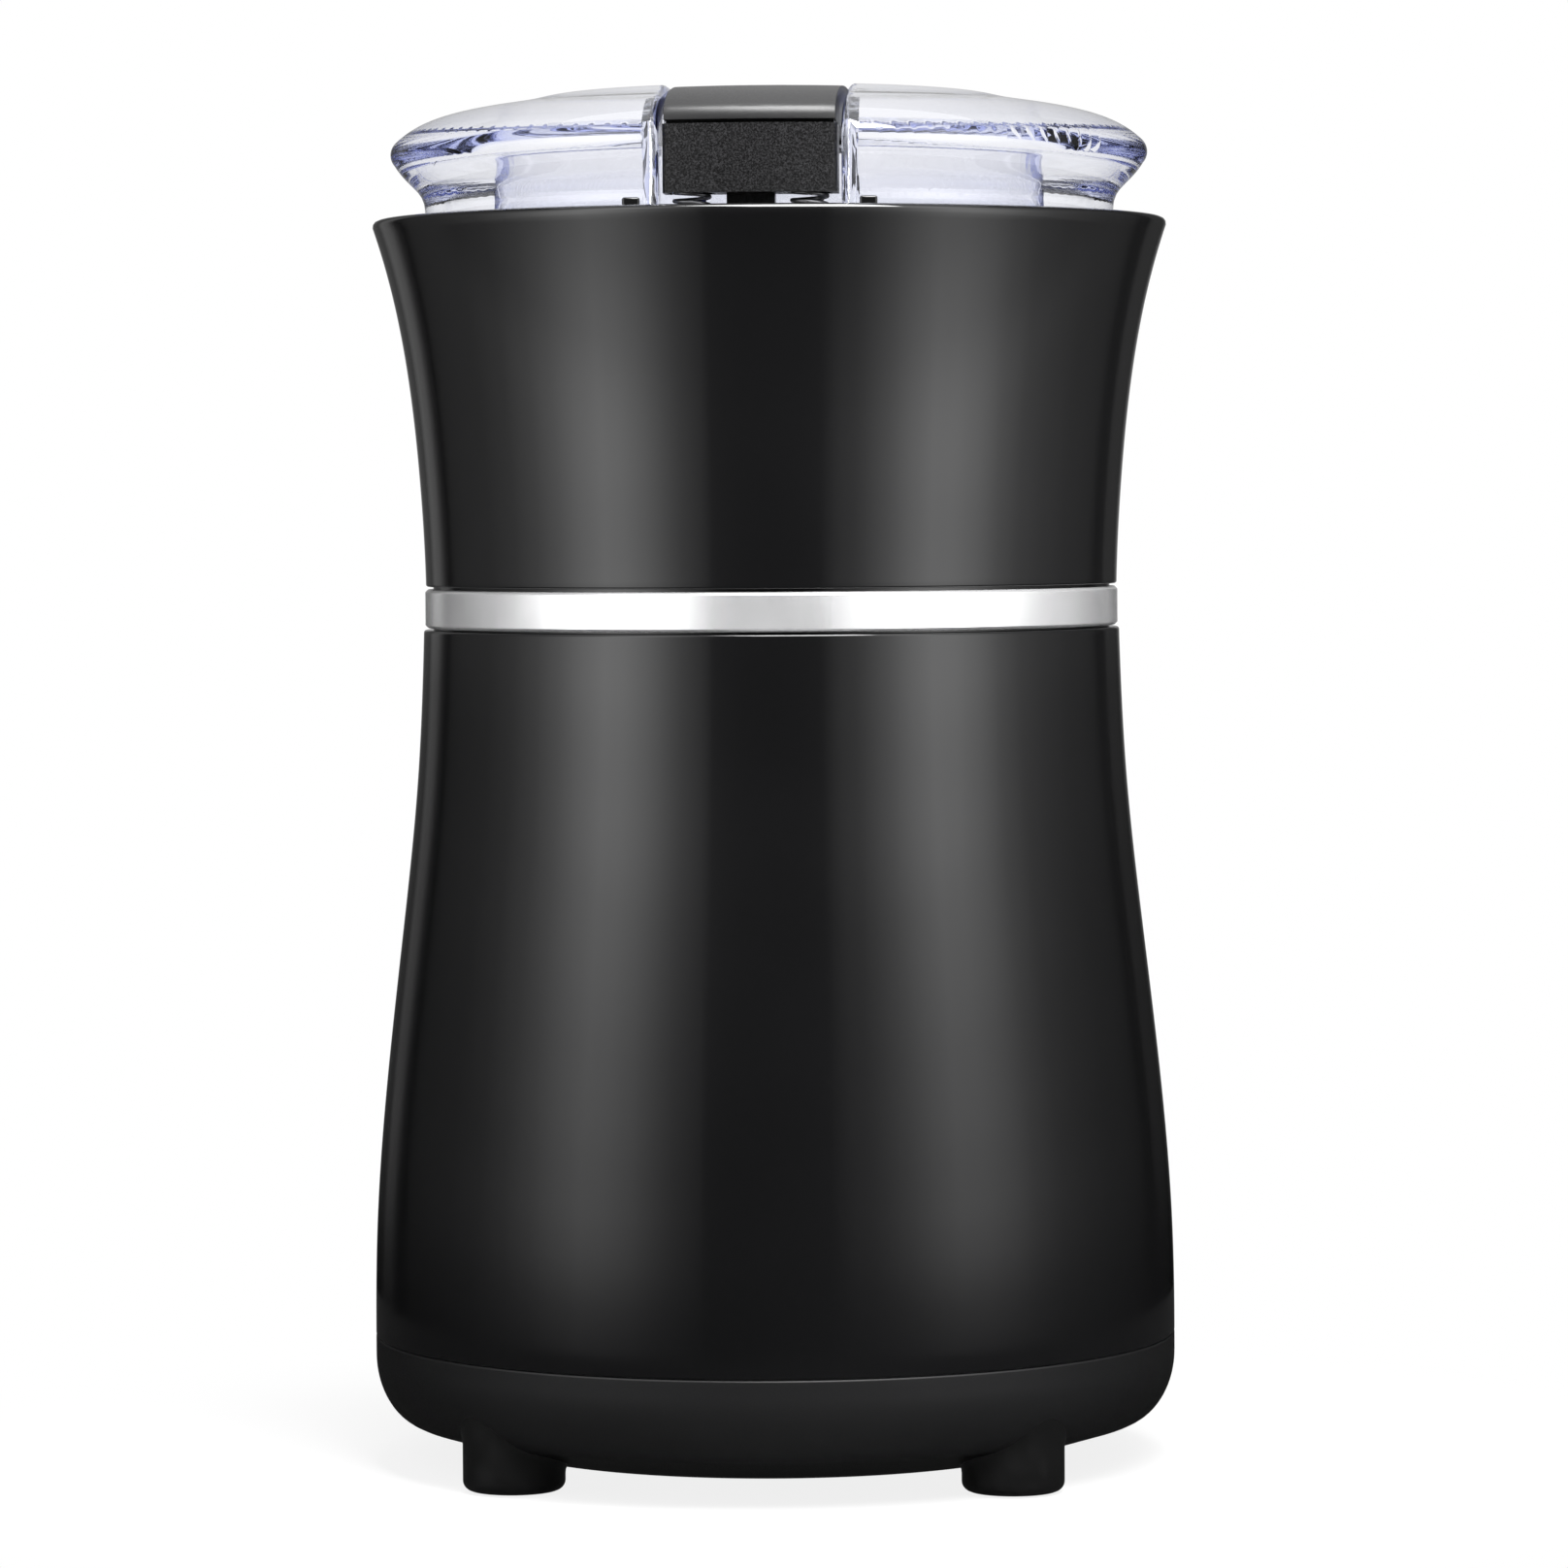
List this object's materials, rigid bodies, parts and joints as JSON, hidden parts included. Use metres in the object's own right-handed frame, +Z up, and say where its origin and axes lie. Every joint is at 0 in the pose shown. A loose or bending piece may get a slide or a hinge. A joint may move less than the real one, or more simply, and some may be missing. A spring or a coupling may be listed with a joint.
{
  "type": "electric spice grinder",
  "caption": "Free-standing electric spice grinder with a flared black casing, a bright waist ring, a clear lid with a hinged press key, a steel bowl, a spinning blade and a motor inside.",
  "frame": {"origin": "middle of the plane on which the four feet stand", "axes": "+Z up along the motor shaft, -Y towards the press key at the front, +X to the right as seen from the front"},
  "size_m": [0.1002, 0.1002, 0.171],
  "materials": {
    "gloss_black_plastic": "polished black ABS",
    "satin_black_plastic": "fine satin black ABS",
    "textured_black_plastic": "spark-eroded black ABS",
    "clear_plastic": "clear moulded styrene-acrylonitrile",
    "chrome_trim": "bright chrome plate on a plastic band",
    "black_rubber": "black rubber with a slight sheen",
    "seal_rubber": "red-brown silicone rubber",
    "stainless_steel": "spun and brushed stainless steel",
    "bright_steel": "ground steel",
    "zinc_steel": "zinc-plated steel",
    "spring_steel": "drawn spring wire",
    "lamination_steel": "stacked silicon steel with a varnish coat",
    "copper_winding": "enamelled copper wire under varnish",
    "brass": "pressed brass",
    "bronze_bush": "sintered bronze",
    "carbon": "pressed carbon",
    "phenolic": "brown phenolic sheet",
    "nylon_white": "natural nylon",
    "switch_case": "black thermoset",
    "switch_red": "red nylon",
    "lead_brown": "brown wire insulation",
    "lead_blue": "blue wire insulation",
    "lead_black": "black wire insulation"
  },
  "bodies": {
    "housing": {"base_pan": "satin_black_plastic", "base_screws": "zinc_steel", "brush_card": "phenolic", "brush_holder_left": "brass", "brush_holder_right": "brass", "brush_left": "carbon", "brush_right": "carbon", "brush_spring_left": "spring_steel", "brush_spring_right": "spring_steel", "cord_gland": "black_rubber", "field_coil_front": "copper_winding", "field_coil_rear": "copper_winding", "foot_front_left": "black_rubber", "foot_front_right": "black_rubber", "foot_rear_left": "black_rubber", "foot_rear_right": "black_rubber", "grinding_bowl": "stainless_steel", "housing_screws": "zinc_steel", "lead_brush_to_field": "lead_black", "lead_live": "lead_brown", "lead_neutral": "lead_blue", "lead_switched": "lead_black", "lower_bearing": "bronze_bush", "lower_bracket": "zinc_steel", "lower_housing": "gloss_black_plastic", "motor_damper_1": "black_rubber", "motor_damper_2": "black_rubber", "motor_damper_3": "black_rubber", "motor_mount_screws": "zinc_steel", "shaft_seal": "seal_rubber", "stator_bolts": "zinc_steel", "stator_core": "lamination_steel", "switch_body": "switch_case", "switch_screws": "zinc_steel", "terminal_block": "nylon_white", "thermal_cutout": "nylon_white", "trim_ring": "chrome_trim", "upper_bearing": "bronze_bush", "upper_bracket": "zinc_steel", "upper_housing": "gloss_black_plastic"},
    "lid": {"lid_shell": "clear_plastic", "button_pin": "bright_steel"},
    "button": {"button_body": "textured_black_plastic", "button_cap": "satin_black_plastic", "button_spring_left": "spring_steel", "button_spring_right": "spring_steel"},
    "push_rod": {"push_rod": "satin_black_plastic", "push_rod_spring": "spring_steel"},
    "switch_lever": {"switch_lever": "spring_steel"},
    "switch_plunger": {"switch_plunger": "switch_red"},
    "rotor": {"motor_shaft": "bright_steel", "armature_core": "lamination_steel", "armature_windings": "copper_winding", "commutator": "copper_winding", "cooling_fan": "nylon_white", "blade_hub": "bright_steel", "blade": "stainless_steel", "blade_nut": "bright_steel"}
  },
  "joints": [
    {"name": "lid_lift", "type": "slide", "parent": "housing", "child": "lid", "axis": [0, 0, 1], "range_m": [0, 0.07]},
    {"name": "button_press", "type": "hinge", "parent": "lid", "child": "button", "pos_m": [0, 0.008, 0.166], "axis": [1, 0, 0], "range_deg": [0, 2.1], "stiffness_Nm_per_rad": 3, "springref_deg": -1.15, "deforming": ["button_spring_left", "button_spring_right"]},
    {"name": "push_rod_slide", "type": "slide", "parent": "housing", "child": "push_rod", "axis": [0, 0, -1], "range_m": [0, 0.0018], "deforming": ["push_rod_spring"]},
    {"name": "switch_lever_turn", "type": "hinge", "parent": "housing", "child": "switch_lever", "pos_m": [-0.0088, -0.0382, 0.1387], "axis": [0, 1, 0], "range_deg": [0, 11.4]},
    {"name": "switch_plunger_slide", "type": "slide", "parent": "housing", "child": "switch_plunger", "axis": [0, 0, -1], "range_m": [0, 0.0009]},
    {"name": "blade_spin", "type": "hinge", "parent": "housing", "child": "rotor", "pos_m": [0, 0, 0.1], "axis": [0, 0, 1], "continuous": true}
  ],
  "couplings": [
    {"joint": "push_rod_slide", "follows": "button_press", "m_per_rad": 0.0484},
    {"joint": "switch_lever_turn", "follows": "button_press", "ratio": 5.36},
    {"joint": "switch_plunger_slide", "follows": "button_press", "m_per_rad": 0.0231}
  ]
}
